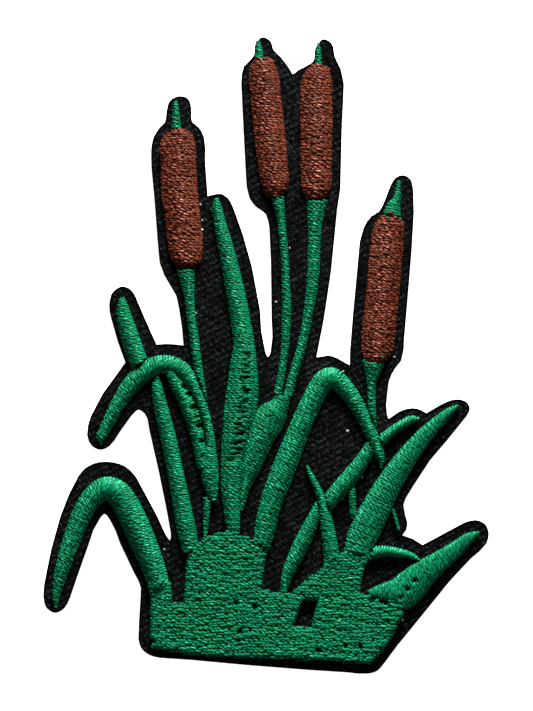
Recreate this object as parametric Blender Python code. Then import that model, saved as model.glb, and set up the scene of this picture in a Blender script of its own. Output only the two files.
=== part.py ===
# Embroidered patch in the shape of a clump of cattails: raised thread on black twill with a cut edge.
# It lies on its back with the stitching up. Metres. The origin is under the middle of the patch,
# on the face that it rests on. +X is right, +Y is up along the stalks and +Z is out of the stitched face.

import math

import bmesh
import bpy
from mathutils import Vector

# Driving dimensions
PATCH_HEIGHT = 0.102  # from the foot of the mound to the top of the third stalk's twill
FILM_THICKNESS = 0.0002  # heat-seal film over the back
TWILL_THICKNESS = 0.0005
GAP = 0.0003  # between pieces that lie on each other or meet side to side
EDGE_WALL = 0.0002  # upright edge of a stitched column, under its crown
LOWEST_CROWN = 0.00035  # crown of a column of no width
CROWN_PER_WIDTH = 0.19  # how much a column rises for its width
HIGHEST_CROWN = 0.0012
MOUND_THICKNESS = 0.0007
MOUND_BEVEL = 0.00015
CUTTER_REACH = 0.001  # how far a cutter runs past the pieces above and below

# Heights of the faces that carry something
FILM_BOTTOM = 0.0
TWILL_BOTTOM = FILM_BOTTOM + FILM_THICKNESS + GAP
STITCH_BOTTOM = TWILL_BOTTOM + TWILL_THICKNESS + GAP

# Shape of a column's crown: places across it, from edge to edge
CROWN_PLACES = (-1.0, -0.6, 0.0, 0.6, 1.0)
OUTLINE_TURN = math.radians(14)  # a smooth outline has a point for each turn of this size
COLUMN_TURN = math.radians(16)
COLUMN_STEP = 26  # longest stretch of a column between two cross-sections, in grid units

SHARP_ANGLE = math.radians(50)  # a steeper fold between two faces stays a sharp edge
BEVELLED_ANGLE = math.radians(60)

# Colour and roughness
GREEN_THREAD = (0.004, 0.235, 0.118), 0.45
BROWN_THREAD = (0.230, 0.055, 0.028), 0.45
BLACK_TWILL = (0.006, 0.006, 0.008), 0.9
PALE_FILM = (0.52, 0.52, 0.50), 0.35

# The artwork is drawn on a grid, x to the right and y down, and scaled so that the twill has the
# patch's height. The twill's cut edge is a row of smooth runs from one sharp notch to the next.
TWILL_RUNS = [
    # up the first stalk, round its head and tip, and down to the tall leaf
    [(183.5, 345.5), (182, 328), (179, 308), (176.5, 296), (171, 286.5), (164, 274.5), (159.5, 262),
     (157.5, 240), (154.5, 200), (151.5, 168), (151, 150), (153.5, 137), (159.5, 127.5), (165, 122),
     (166.5, 111), (170, 100.5), (179, 96), (188, 98.5), (191, 107), (192, 121.5), (199, 127.5),
     (204, 137), (205, 160), (207.5, 196)],
    # the tall leaf, the slit beside it, the second stalk and its tip
    [(207.5, 196), (213, 194.5), (221, 193.7), (228, 198), (233, 207), (243, 235), (252, 267),
     (260, 310), (265.3, 352), (268, 357.5), (270.7, 352), (271.8, 320), (271, 262), (269.5, 228),
     (266, 214), (255, 205.5), (249.5, 197.5), (246, 176), (243.5, 128), (241.3, 82), (244, 66),
     (250, 60), (254, 55.5), (255.3, 44), (262.5, 37), (270.5, 41), (273.5, 49.5), (281, 57),
     (288, 66), (293, 74.5)],
    # the third stalk
    [(293, 74.5), (298, 70), (307, 65.5), (313.5, 61), (315.5, 48), (323.5, 39), (331.5, 43),
     (335, 57), (341, 69), (344, 84), (341.8, 130), (340.5, 188), (337.5, 207), (331, 272),
     (324, 318), (316.3, 357.5)],
    # over the arching leaf in the middle
    [(316.3, 357.5), (321, 356.8), (328, 355.5), (337, 358), (344, 362), (350, 365.3)],
    # the fourth stalk
    [(350, 365.3), (350.3, 350), (353.3, 312), (357.3, 270), (360, 241), (364, 227), (371.5, 216),
     (379.5, 211), (385, 200), (390.5, 186), (395.5, 177.8), (403, 175), (410.5, 179), (413.3, 190),
     (414, 212), (412, 247), (408, 296), (404.3, 338), (401, 361), (395.5, 367.7), (388.8, 381.5),
     (387, 396), (387, 414), (388.7, 419)],
    # the curved leaf that passes behind
    [(388.7, 419), (399, 412), (413, 408.2), (421.5, 410.3), (426.5, 413.3)],
    # the long leaf on the right
    [(426.5, 413.3), (440, 405.3), (458, 399.4), (467, 402.3), (470, 408.5), (466, 417),
     (447, 440.5), (430, 460.5), (414, 485), (406, 498), (403.3, 505)],
    # a short bulge beside the outer sliver
    [(403.3, 505), (405.3, 515), (407.5, 523), (406.3, 530), (402.2, 535.6)],
    [(402.2, 535.6), (413, 539), (423, 545.3)],
    # the low leaf, the foot of the mound, the drooping leaf and the left arch
    [(423, 545.3), (445, 533.5), (464, 523.3), (476, 520.3), (485.5, 524.5), (489, 533.5),
     (486.5, 543.5), (471, 558.5), (450, 581), (420, 618), (398, 645), (382.5, 665.7),
     (377, 671.3), (369, 673.7), (348, 672.6), (310, 670.2), (250, 665.5), (190, 660),
     (160, 658), (149, 655),
     (141, 648), (138.3, 639), (139, 620), (140.5, 598), (140.8, 587.5), (134, 573), (120, 543.5),
     (109, 518.5), (104.5, 514), (100, 518), (88, 545.5), (77, 576.5), (69.5, 598.5), (64, 608.5),
     (55, 613), (46.5, 608), (43.3, 596), (45.5, 576.5), (51, 549.5), (60, 517), (69, 494),
     (78, 476.5), (86, 467.5), (99, 462.5), (113, 462.5), (125, 466.5), (136, 477.5), (145, 494),
     (157, 516.5), (165.3, 535), (170, 541), (170.8, 533), (165.5, 504.5), (158.5, 470.5),
     (149.5, 431), (144.5, 413.5), (138.7, 409.7), (131, 416), (118.5, 433.5), (108.5, 446.8),
     (100, 449.8), (91, 445), (87, 434.5), (91, 415.5), (103, 393), (115.5, 376), (125.3, 362.5)],
    # the leaf tip above the left arch
    [(125.3, 362.5), (118, 342.5), (111.5, 320), (109, 304.5), (113, 291.5), (122.5, 286.3),
     (131.5, 290.3), (138, 303), (150, 330.5), (156.5, 344.5)],
    [(156.5, 344.5), (166, 343.8), (175, 344.3), (183.5, 345.5)],
]

# The edge of the stitched mound, in the same kind of runs
MOUND_RUNS = [
    # from the lower left corner up to the dark slit
    [(149.5, 648), (149, 628), (149.5, 594)],
    [(149.5, 594), (157, 585), (168.5, 577.5)],
    [(168.5, 577.5), (171.8, 584), (173.5, 601)],
    [(173.5, 601), (178, 603), (182.5, 602)],
    # over the hump between the left leaves and the middle ones
    [(182.5, 602), (184, 578), (186, 554)],
    [(186, 554), (196, 546), (208, 537), (219, 531), (231, 533.5), (248, 538)],
    [(248, 538), (258, 542), (268.5, 549)],
    [(268.5, 549), (265.5, 566), (263, 588)],
    # along the foot of the middle leaves
    [(263, 588), (278, 592), (292, 591.5)],
    [(292, 591.5), (304, 580), (320, 569), (333, 559), (345, 552)],
    [(345, 552), (357, 551), (371, 556)],
    [(371, 556), (365, 571), (361.5, 591)],
    # under the low leaf and down the cut-back right side
    [(361.5, 591), (372, 597.5), (388, 606.5), (403, 616.5)],
    [(403, 616.5), (394, 636), (383, 652), (371, 664.5)],
    [(371, 664.5), (320, 661), (250, 659), (190, 655.5), (149.5, 648)],
]
MOUND_SLOT = [(304, 601), (316, 600), (310, 627), (295, 625)]  # bare twill inside the mound

# Stitched columns: x and y on the middle line and the width across it, all in grid units.
# The ones after a name in COVERED_BY lie over it, and it stops a gap short of them.
HEADS = {
    "head_1": [(179, 131, 15), (178.5, 135, 28), (177.7, 142, 34.5), (178.5, 165, 36), (179.8, 195, 37.5),
               (182.8, 220, 36.5), (185.2, 242, 36), (186.3, 256, 33), (187, 263.5, 25),
               (187.7, 268.5, 13)],
    "head_2": [(263, 60, 13), (263, 64, 23), (263.4, 72, 29), (265.8, 97, 31.3), (269.8, 137, 31.7),
               (273, 167, 30.5), (275, 184.5, 28), (275, 192, 22.5), (274, 197.5, 11)],
    "head_3": [(317.5, 66, 12), (317.5, 70, 22), (317, 77, 29), (316.3, 97, 32.7), (316.3, 140, 32.7),
               (316, 168, 32), (316, 190.5, 28), (315.5, 197.5, 20), (314.5, 202, 9)],
    "head_4": [(391, 216, 14), (390, 220.5, 25), (388.7, 228, 31), (387, 243, 33.5), (383.8, 280, 34),
               (380.7, 312, 34.2), (378, 340, 34.3), (377, 352, 31.5), (376, 359, 24.5),
               (375.5, 363.5, 15)],
}
TIPS = {
    "tip_1": [(175.8, 102.5, 4), (176, 109, 6.8), (176.3, 118, 8.6), (176.2, 132, 11)],
    "tip_2": [(257.8, 41.5, 4), (258.5, 47, 7), (259.5, 61, 9)],
    "tip_3": [(318.5, 43.5, 3.3), (318.5, 51, 5.4), (318.6, 67, 7.6)],
    "tip_4": [(398.6, 182, 3.5), (398.2, 189, 6), (396.8, 199, 8.7), (393.5, 207, 15),
              (391.5, 217, 19.5)],
}
STALKS = {
    "stalk_1": [(185.5, 266, 19), (187, 279, 16), (189.3, 298, 11), (191.5, 320, 9.6), (194, 337, 10),
                (197, 360, 10), (200, 378, 9), (203.5, 394, 7), (206, 408, 4)],
    "stalk_2": [(277.5, 196, 14), (280.5, 217, 9.6), (284, 250, 8.6), (286, 286, 9), (286.2, 322, 10),
                (284.5, 350, 8.6), (281.5, 374, 8.2), (278, 394, 9)],
    "stalk_3": [(317, 200, 22), (315, 222, 16), (312.6, 280, 13), (308.6, 312, 11), (302.8, 342, 10),
                (297.8, 361, 10), (292.8, 377, 9.6), (288, 396, 10)],
    "stalk_foot": [(282, 396, 17), (279, 405, 20), (273.5, 413.5, 28), (269, 421.5, 28),
                   (263.5, 433, 26.3), (257.5, 449, 22.7), (252, 467, 18), (247, 482, 11.5),
                   (243.5, 499, 6), (241.6, 510, 2.8)],
    "stalk_4": [(373.8, 361, 24.5), (372.7, 371, 18), (371.5, 381, 11.5), (371.5, 396, 9),
                (372.3, 411, 8), (374, 423, 5.5), (375.5, 431, 3)],
}
LEAVES = {
    "leaf_left_tip": [(122.4, 297.5, 4.5), (122.6, 305, 11), (124, 316, 15.5), (128.5, 332, 18.5),
                      (135, 352, 19.5), (142, 369, 19)],
    "leaf_left_arch": [(101, 443.5, 4), (101, 438, 10), (105.2, 429, 12.2), (111.2, 417.5, 14),
                       (120.7, 400.3, 16.3), (132, 384, 19), (143.7, 372.8, 20.2), (155, 366.2, 20),
                       (167, 364.3, 19), (179, 368, 18.5), (188.5, 377, 15.5), (195.5, 389, 11.5),
                       (201, 401, 10), (205, 413, 9.4), (209, 429, 9), (211, 446, 10.5), (210.3, 461, 16),
                       (210, 475, 18.5), (211.5, 488, 14.5), (213.5, 500, 8)],
    "leaf_left_strand": [(170, 371, 11), (175.5, 385, 12), (183, 400, 12.3), (189, 414, 12),
                         (193.5, 430, 10.3), (197, 447, 8.8), (200.5, 462, 8)],
    "leaf_left_blade": [(157.5, 377.5, 4.5), (157, 384, 10), (158, 394, 12.8), (161.5, 410, 15),
                        (166.5, 430, 16), (171.5, 453, 16.7), (176.5, 478, 17.5), (181.5, 504, 18.7),
                        (185.5, 525, 20), (190.5, 550, 18)],
    "leaf_far_left": [(56, 606.5, 4), (56, 598, 7.5), (58.5, 584, 11.8), (64.5, 562, 16.5),
                      (71.5, 541, 18.6), (80.5, 518, 20.5), (89.5, 501.5, 21.8), (98.5, 492, 23.4),
                      (107.5, 488.5, 24.6), (116.5, 492, 26), (123.5, 500.5, 27), (131, 514.5, 27.6),
                      (139, 532, 27.3), (147, 551, 26), (154, 569, 23), (158.5, 583, 19)],
    "leaf_thin_left": [(207, 498, 8.5), (206.8, 508, 8), (206, 522, 6.5), (205, 539, 4)],
    "leaf_tall": [(216.8, 199.5, 5), (217, 206, 9.5), (219.5, 221, 12.5), (224, 240, 15.2),
                  (230, 266, 17.8), (235.7, 294, 19.7), (241, 324, 21), (244, 345, 22.3),
                  (243.7, 362, 26.7), (242.7, 388, 32.2), (240.7, 408, 33.7), (237, 430, 29),
                  (232.7, 456, 23.7), (230.8, 482, 20.8), (231.6, 505, 18.5), (233.5, 533, 13.5)],
    "leaf_centre_arch": [(261, 550, 18), (264.5, 531, 21.5), (270, 507, 22.5), (278.8, 482, 24.5),
                         (286.5, 462, 24.3), (294.5, 441.5, 23), (303.5, 420, 22.3), (312, 401, 21.8),
                         (319, 387.5, 22), (325, 380, 22), (331, 378, 22), (338, 381.5, 20.3),
                         (345.5, 389, 18.5), (353, 398.8, 17), (360.7, 412.5, 15.2), (368, 427.8, 13.5),
                         (374.7, 441.5, 12.8), (379.3, 454, 10.8), (381.3, 461.5, 7), (381.3, 467.5, 3)],
    "leaf_curved_tip": [(418.3, 418.8, 3.5), (413, 419, 8), (404, 423.3, 9.8), (395, 429, 10.3),
                        (386, 436.3, 11.8), (374, 446, 14)],
    "leaf_curved_middle": [(372.5, 443, 12), (364, 457.8, 14.8), (355, 470.8, 17), (344.6, 483.3, 18),
                           (334, 495.5, 17.5), (324, 509, 15)],
    "leaf_curved_base": [(319, 503, 8), (314, 516, 12), (308, 530, 15.7), (302, 543, 17),
                         (295.8, 556, 16), (289.7, 569, 14), (285.7, 581, 11), (283.5, 594, 7)],
    "leaf_short": [(307, 466.5, 3.5), (310.5, 475, 5.8), (316, 486, 7.8), (321.5, 500, 9.7),
                   (325.2, 514, 12), (327.5, 528, 14.5), (330.3, 546, 15.8), (333, 568, 18)],
    "leaf_long_right": [(457.3, 405.8, 3.5), (450, 411.3, 8.5), (439, 421, 13), (427.5, 432.5, 16.6),
                        (414.5, 447.5, 19.6), (402.5, 463.5, 22.8), (391.5, 480, 25.3),
                        (382, 496.5, 28.3), (374, 512.5, 30.5), (365.3, 529.5, 31.5), (359, 545, 28.5),
                        (356, 562, 26)],
    "leaf_small_arch": [(418.5, 559.5, 3), (412.5, 556.3, 7), (404, 553.7, 9.2), (395, 552, 10.2),
                        (385, 551, 11.5), (375, 552.3, 13.3), (362, 556, 14)],
    "leaf_low_right": [(478, 532.5, 4), (471, 536.5, 9.8), (460, 545.5, 15.3), (448, 555, 18.8),
                       (436, 564, 23), (422.5, 574.5, 28.5), (410.5, 586, 34), (400.5, 594, 33),
                       (387, 593.5, 21), (370.5, 593, 6)],
    "sliver_inner": [(352, 486.5, 6), (352.3, 495, 8), (352.5, 505, 7), (353.5, 516, 7), (356, 525, 5)],
    "sliver_outer": [(393, 509.5, 3), (394.5, 516, 4.2), (396.5, 523, 4.5), (398.3, 529.5, 3)],
}
COVERED_BY = {
    "tip_1": ["head_1"],
    "tip_2": ["head_2"],
    "tip_3": ["head_3"],
    "tip_4": ["head_4"],
    "stalk_1": ["head_1", "leaf_left_arch"],
    "stalk_2": ["head_2", "stalk_3", "stalk_foot"],
    "stalk_3": ["head_3", "stalk_foot"],
    "stalk_4": ["head_4", "leaf_centre_arch"],
    "leaf_left_tip": ["leaf_left_arch"],
    "leaf_left_strand": ["leaf_left_arch"],
    "leaf_left_blade": ["leaf_left_arch", "ground_mound"],
    "leaf_left_arch": ["leaf_tall"],
    "leaf_far_left": ["ground_mound"],
    "leaf_thin_left": ["leaf_left_arch", "ground_mound"],
    "leaf_tall": ["stalk_foot", "ground_mound"],
    "leaf_centre_arch": ["leaf_long_right", "ground_mound"],
    "leaf_curved_tip": ["leaf_centre_arch"],
    "leaf_curved_middle": ["leaf_centre_arch", "leaf_short"],
    "leaf_curved_base": ["leaf_short", "ground_mound"],
    "leaf_short": ["ground_mound"],
    "leaf_long_right": ["ground_mound"],
    "leaf_small_arch": ["leaf_long_right", "leaf_low_right", "ground_mound"],
    "leaf_low_right": ["ground_mound"],
    "sliver_inner": ["leaf_curved_middle", "leaf_long_right"],
    "sliver_outer": ["leaf_long_right"],
}


def smooth(points, turn, longest=math.inf):
    """Points on a smooth curve through the given ones. Any value after x and y is carried along."""
    points = [Vector(point) for point in points]
    runs = [(b.xy - a.xy).length for a, b in zip(points, points[1:])]
    chords = [(b - a) / run for a, b, run in zip(points, points[1:], runs)]
    slopes = [chords[0]]
    for before, after, run_before, run_after in zip(chords, chords[1:], runs, runs[1:]):
        slopes.append((before * run_after + after * run_before) / (run_before + run_after))
    slopes.append(chords[-1])
    curve = [points[0]]
    for i, run in enumerate(runs):
        angle = slopes[i].xy.angle(chords[i].xy) + chords[i].xy.angle(slopes[i + 1].xy)
        pieces = max(1, math.ceil(angle / turn), math.ceil(run / longest))
        for k in range(1, pieces + 1):
            t = k / pieces
            start = (1 + 2 * t) * (1 - t) ** 2 * points[i] + t * (1 - t) ** 2 * run * slopes[i]
            end = t * t * (3 - 2 * t) * points[i + 1] + t * t * (t - 1) * run * slopes[i + 1]
            curve.append(start + end)
    return curve


def closed_loop(runs):
    """One outline from runs that each start where the one before ended."""
    loop = []
    for run in runs:
        loop += smooth(run, OUTLINE_TURN)[:-1]
    return loop


twill_loop = closed_loop(TWILL_RUNS)
LEFT, RIGHT = min(p.x for p in twill_loop), max(p.x for p in twill_loop)
TOP, BOTTOM = min(p.y for p in twill_loop), max(p.y for p in twill_loop)
GRID = PATCH_HEIGHT / (BOTTOM - TOP)  # metres for one unit of the grid


def place(point):
    """A point of the grid in metres, from the middle of the patch."""
    return Vector((point.x - (LEFT + RIGHT) / 2, (TOP + BOTTOM) / 2 - point.y)) * GRID


def finish(piece, look):
    """Gives a piece a material of its own with the look's colour and roughness."""
    colour, roughness = look
    made = bpy.data.materials.new(piece.name)
    made.use_nodes = True
    made.diffuse_color = (*colour, 1.0)
    surface = made.node_tree.nodes["Principled BSDF"]
    surface.inputs["Base Color"].default_value = (*colour, 1.0)
    surface.inputs["Roughness"].default_value = roughness
    surface.inputs["Metallic"].default_value = 0.0
    piece.data.materials.append(made)


def new_object(name, bm):
    """The bmesh as a named object, its faces turned outwards."""
    bmesh.ops.recalc_face_normals(bm, faces=bm.faces)
    mesh = bpy.data.meshes.new(name)
    bm.to_mesh(mesh)
    bm.free()
    made = bpy.data.objects.new(name, mesh)
    bpy.context.scene.collection.objects.link(made)
    return made


def plate(name, loop, low, high):
    """A flat piece with the outline of the loop, between two heights."""
    bm = bmesh.new()
    face = bm.faces.new([bm.verts.new((*point, low)) for point in loop])
    raised = bmesh.ops.extrude_face_region(bm, geom=[face])["geom"]
    corners = [part for part in raised if isinstance(part, bmesh.types.BMVert)]
    bmesh.ops.translate(bm, verts=corners, vec=(0, 0, high - low))
    return new_object(name, bm)


def cross_sections(stations):
    """Middle point, direction across and half width, in metres, along a column."""
    line = smooth(stations, COLUMN_TURN, COLUMN_STEP)
    middles = [place(station) for station in line]
    sections = []
    for i, middle in enumerate(middles):
        along = middles[min(i + 1, len(middles) - 1)] - middles[max(i - 1, 0)]
        across = Vector((along.y, -along.x)).normalized()
        sections.append((middle, across, line[i].z * GRID / 2))
    return sections


def crown_height(half_width):
    return min(HIGHEST_CROWN, LOWEST_CROWN + CROWN_PER_WIDTH * 2 * half_width)


def column(name, stations):
    """A stitched column: flat below, with an upright edge and a crown that rises to its middle line."""
    bm = bmesh.new()
    rings = []
    for middle, across, half in cross_sections(stations):
        crown = crown_height(half) - EDGE_WALL
        ring = [bm.verts.new((*(middle + across * half * side), STITCH_BOTTOM)) for side in (1, -1)]
        for place_across in CROWN_PLACES:
            rise = EDGE_WALL + crown * math.sqrt(1 - place_across**2)
            ring.append(bm.verts.new((*(middle + across * half * place_across), STITCH_BOTTOM + rise)))
        rings.append(ring)
    for ring, following in zip(rings, rings[1:]):
        for k in range(len(ring)):
            n = (k + 1) % len(ring)
            bm.faces.new((ring[k], ring[n], following[n], following[k]))
    bm.faces.new(rings[0])
    bm.faces.new(rings[-1])
    made = new_object(name, bm)
    made.data.shade_smooth()
    made.data.set_sharp_from_angle(angle=SHARP_ANGLE)
    return made


def column_cutter(name, stations):
    """An upright block that keeps a gap all round a column."""
    low = -CUTTER_REACH
    high = STITCH_BOTTOM + HIGHEST_CROWN + CUTTER_REACH
    sections = cross_sections(stations)
    reach = [(middle, across, half + GAP) for middle, across, half in sections]
    start = (sections[0][0] - sections[1][0]).normalized() * GAP
    end = (sections[-1][0] - sections[-2][0]).normalized() * GAP
    reach[0] = (reach[0][0] + start, *reach[0][1:])
    reach[-1] = (reach[-1][0] + end, *reach[-1][1:])
    bm = bmesh.new()
    rings = []
    for middle, across, half in reach:
        corners = ((-half, low), (half, low), (half, high), (-half, high))
        rings.append([bm.verts.new((*(middle + across * side), height)) for side, height in corners])
    for ring, following in zip(rings, rings[1:]):
        for k in range(len(ring)):
            n = (k + 1) % len(ring)
            bm.faces.new((ring[k], ring[n], following[n], following[k]))
    bm.faces.new(rings[0])
    bm.faces.new(rings[-1])
    return hidden(new_object(name, bm))


def widened(loop, distance):
    """The loop moved out by a distance along its own normals. It runs clockwise seen from above."""
    moved = []
    for i, point in enumerate(loop):
        along = loop[(i + 1) % len(loop)] - loop[i - 1]
        moved.append(point + Vector((-along.y, along.x)).normalized() * distance)
    return moved


def hidden(cutter):
    cutter.hide_render = True
    cutter.display_type = "WIRE"
    return cutter


def cut(piece, cutter):
    modifier = piece.modifiers.new("Clear of " + cutter.name, "BOOLEAN")
    modifier.operation = "DIFFERENCE"
    modifier.solver = "EXACT"
    modifier.object = cutter


def mound():
    """The filled ground at the foot, with its slot of bare twill and a softened upper edge."""
    loop = [place(point) for point in closed_loop(MOUND_RUNS)]
    made = plate("ground_mound", loop, STITCH_BOTTOM, STITCH_BOTTOM + MOUND_THICKNESS)
    slot = [place(Vector(corner)) for corner in MOUND_SLOT]
    top = STITCH_BOTTOM + MOUND_THICKNESS + CUTTER_REACH
    cut(made, hidden(plate("cut_slot", slot, -CUTTER_REACH, top)))
    edge = made.modifiers.new("Soft edge", "BEVEL")
    edge.width = MOUND_BEVEL
    edge.segments = 1
    edge.limit_method = "ANGLE"
    edge.angle_limit = BEVELLED_ANGLE
    made.data.shade_smooth()
    made.data.set_sharp_from_angle(angle=SHARP_ANGLE)
    return made, hidden(plate("cut_ground_mound", widened(loop, GAP), -CUTTER_REACH, top))


for old in list(bpy.data.objects):
    bpy.data.objects.remove(old)

outline = [place(point) for point in twill_loop]
film = plate("heat_seal_film", outline, FILM_BOTTOM, FILM_BOTTOM + FILM_THICKNESS)
finish(film, PALE_FILM)
twill = plate("black_twill", outline, TWILL_BOTTOM, TWILL_BOTTOM + TWILL_THICKNESS)
finish(twill, BLACK_TWILL)

ground, ground_cutter = mound()
finish(ground, GREEN_THREAD)
pieces = {"ground_mound": ground}
cutters = {"ground_mound": ground_cutter}
shapes = {**HEADS, **TIPS, **STALKS, **LEAVES}
for name, stations in shapes.items():
    pieces[name] = column(name, stations)
    finish(pieces[name], BROWN_THREAD if name in HEADS else GREEN_THREAD)
for covering in sorted({name for above in COVERED_BY.values() for name in above} - set(cutters)):
    cutters[covering] = column_cutter("cut_" + covering, shapes[covering])
for name, above in COVERED_BY.items():
    for covering in above:
        cut(pieces[name], cutters[covering])
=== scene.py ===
import math

import bmesh
import bpy
import numpy as np
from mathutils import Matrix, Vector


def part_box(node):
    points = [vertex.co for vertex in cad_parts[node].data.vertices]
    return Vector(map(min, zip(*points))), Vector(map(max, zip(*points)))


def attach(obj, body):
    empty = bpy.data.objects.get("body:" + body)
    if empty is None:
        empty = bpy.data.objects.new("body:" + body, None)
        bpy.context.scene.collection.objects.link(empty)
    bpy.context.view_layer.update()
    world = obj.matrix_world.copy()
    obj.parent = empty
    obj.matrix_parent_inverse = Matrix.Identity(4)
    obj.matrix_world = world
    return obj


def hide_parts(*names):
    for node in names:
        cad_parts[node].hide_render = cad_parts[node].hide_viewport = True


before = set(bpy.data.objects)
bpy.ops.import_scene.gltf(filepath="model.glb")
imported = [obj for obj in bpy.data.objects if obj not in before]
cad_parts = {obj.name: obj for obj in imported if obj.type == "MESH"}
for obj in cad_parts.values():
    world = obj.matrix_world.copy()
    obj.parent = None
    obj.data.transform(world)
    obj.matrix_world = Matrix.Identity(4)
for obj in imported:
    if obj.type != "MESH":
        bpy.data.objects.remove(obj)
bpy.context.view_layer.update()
print("frame loaded:", len(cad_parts), "solids")

rng = np.random.default_rng(12)  # every small irregularity below is drawn from this
mm = 0.001
weld = 0.001 * mm  # points closer than this are one point

# The artwork is laid out on a grid, x to the right and y down, which the twill fills from top to bottom
art = {"middle": (266.15, 355.4), "height": 636.8}
twillLow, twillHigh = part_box("black_twill")
unit = (twillHigh.y - twillLow.y) / art["height"]  # metres for one step of the grid
twillTop = twillHigh.z
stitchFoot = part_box("head_1")[0].z


def onPatch(points):
    flat = np.array(points, float)[..., :2] - art["middle"]
    return flat * (unit, -unit)


def linear(hexColour):
    channels = [int(hexColour[i:i + 2], 16) / 255 for i in (1, 3, 5)]
    return tuple(c / 12.92 if c <= 0.04045 else ((c + 0.055) / 1.055) ** 2.4 for c in channels) + (1.0,)


def addNode(tree, kind, settings=None, links=None):
    node = tree.nodes.new(kind)
    for name, value in (settings or {}).items():
        if name in node.inputs:
            node.inputs[name].default_value = value
        else:
            setattr(node, name, value)
    for name, source in (links or {}).items():
        tree.links.new(source, node.inputs[name])
    return node


def newObject(name, data):
    made = bpy.data.objects.new(name, data)
    bpy.context.scene.collection.objects.link(made)
    return made


def newMaterial(name):
    made = bpy.data.materials.new(name)
    made.use_nodes = True
    tree = made.node_tree
    tree.nodes.clear()
    output = tree.nodes.new("ShaderNodeOutputMaterial")
    return made, tree, output


# Trilobal polyester embroidery thread, 40 weight, two plies twisted: it is spun from bright filament,
# so each turn of the ply throws back a short glint, which is also painted into the colour, and its grooves
# and its dips between stitches are painted dark, as shade
def twistedThread(name, look):
    made, tree, output = newMaterial(name)
    toneAndPaintedLight = addNode(tree, "ShaderNodeAttribute", {"attribute_name": "threadToneAndPaintedLight"})
    place = addNode(tree, "ShaderNodeTexCoord")
    dye = addNode(tree, "ShaderNodeTexNoise", {"Scale": 1 / (look["dyePatchMm"] * mm), "Detail": 2.0},
                  {"Vector": place.outputs["Object"]})
    filament = addNode(tree, "ShaderNodeTexNoise", {"Scale": 1 / (look["filamentMm"] * mm), "Detail": 3.0},
                       {"Vector": place.outputs["Object"]})
    # base colour: from deep, painted shade in the grooves and dips, up to bright, a painted glint on the ply
    # crests, with a little random dye
    shade = addNode(tree, "ShaderNodeMix", {"data_type": "RGBA"})
    shade.inputs[6].default_value = linear(look["deep"])
    shade.inputs[7].default_value = linear(look["bright"])
    mixed = addNode(tree, "ShaderNodeMath", {"operation": "MULTIPLY_ADD"})
    tree.links.new(dye.outputs["Fac"], mixed.inputs[0])
    mixed.inputs[1].default_value = look["dyeShare"]
    tree.links.new(toneAndPaintedLight.outputs["Fac"], mixed.inputs[2])
    tree.links.new(mixed.outputs[0], shade.inputs[0])
    rough = addNode(tree, "ShaderNodeMapRange",
                    {"To Min": look["roughness"][0], "To Max": look["roughness"][1]},
                    {"Value": toneAndPaintedLight.outputs["Fac"]})
    # down between the plies the neighbours block the light, so the same painted shade takes the gloss away
    # there
    glint = addNode(tree, "ShaderNodeMix", {"data_type": "RGBA"}, {"Factor": toneAndPaintedLight.outputs["Fac"]})
    glint.inputs[6].default_value = (0, 0, 0, 1)
    glint.inputs[7].default_value = linear(look["glint"])
    bump = addNode(tree, "ShaderNodeBump", {"Strength": look["bump"], "Distance": look["filamentMm"] * mm},
                   {"Height": filament.outputs["Fac"]})
    surface = addNode(tree, "ShaderNodeBsdfPrincipled",
                      {"IOR": 1.56, "Specular IOR Level": look["gloss"]},
                      {"Base Color": shade.outputs[2], "Roughness": rough.outputs["Result"],
                       "Specular Tint": glint.outputs[2], "Normal": bump.outputs["Normal"]})
    tree.links.new(surface.outputs[0], output.inputs["Surface"])
    return made


# A filament is only 0.02 mm thick, so bundles of them are drawn, as coarse as they need to be to show.
# Light that has passed through the filaments comes back coloured, so the glints keep the thread's hue
threadLook = {"gloss": 0.65, "roughness": (0.55, 0.36), "dyePatchMm": 3.0, "dyeShare": 0.2,
              "filamentMm": 0.12, "bump": 0.25}
# deep is painted as the shade in the grooves and dips, bright as the glint on the ply crests
greenLook = {**threadLook, "deep": "#01452a", "bright": "#067a52", "glint": "#60ffc0"}
brownLook = {**threadLook, "deep": "#2e0e06", "bright": "#7c3c28", "glint": "#ffb8a2"}
greenThread = twistedThread("green twisted polyester thread", greenLook)
brownThread = twistedThread("brown twisted polyester thread", brownLook)


# Matt fibre: its shade changes a little from clump to clump
def mattFibre(name, look):
    made, tree, output = newMaterial(name)
    place = addNode(tree, "ShaderNodeTexCoord")
    grain = addNode(tree, "ShaderNodeTexNoise", {"Scale": 1 / (look["grainMm"] * mm), "Detail": 2.0},
                    {"Vector": place.outputs["Object"]})
    shade = addNode(tree, "ShaderNodeMapRange", {"To Min": look["shade"][0], "To Max": look["shade"][1]},
                    {"Value": grain.outputs["Fac"]})
    tint = addNode(tree, "ShaderNodeVectorMath", {"operation": "SCALE"}, {"Scale": shade.outputs["Result"]})
    tint.inputs[0].default_value = linear(look["colour"])[:3]
    surface = addNode(tree, "ShaderNodeBsdfPrincipled",
                      {"Roughness": 0.9, "IOR": 1.5, "Specular IOR Level": look["specular"]},
                      {"Base Color": tint.outputs["Vector"]})
    tree.links.new(surface.outputs[0], output.inputs["Surface"])
    return made


# Underlay: the same thread run lengthwise below the satin, packed flat and seen only in the dips. It is
# painted near black, as the shade down there, not in the thread's own colour
underlay = {"grainMm": 0.4, "shade": (0.6, 1.1), "specular": 0.05}
greenUnderlayPaintedShade = mattFibre("green underlay painted dark as shade", {**underlay, "colour": "#001c10"})
brownUnderlayPaintedShade = mattFibre("brown underlay painted dark as shade", {**underlay, "colour": "#1a0603"})

# Cotton lint picked up from cloth: matt, pale and slightly grey with dust
paleLint = mattFibre("pale cotton lint", {"grainMm": 0.3, "shade": (0.5, 1.2), "specular": 0.5,
                                          "colour": "#8f9086"})
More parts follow.
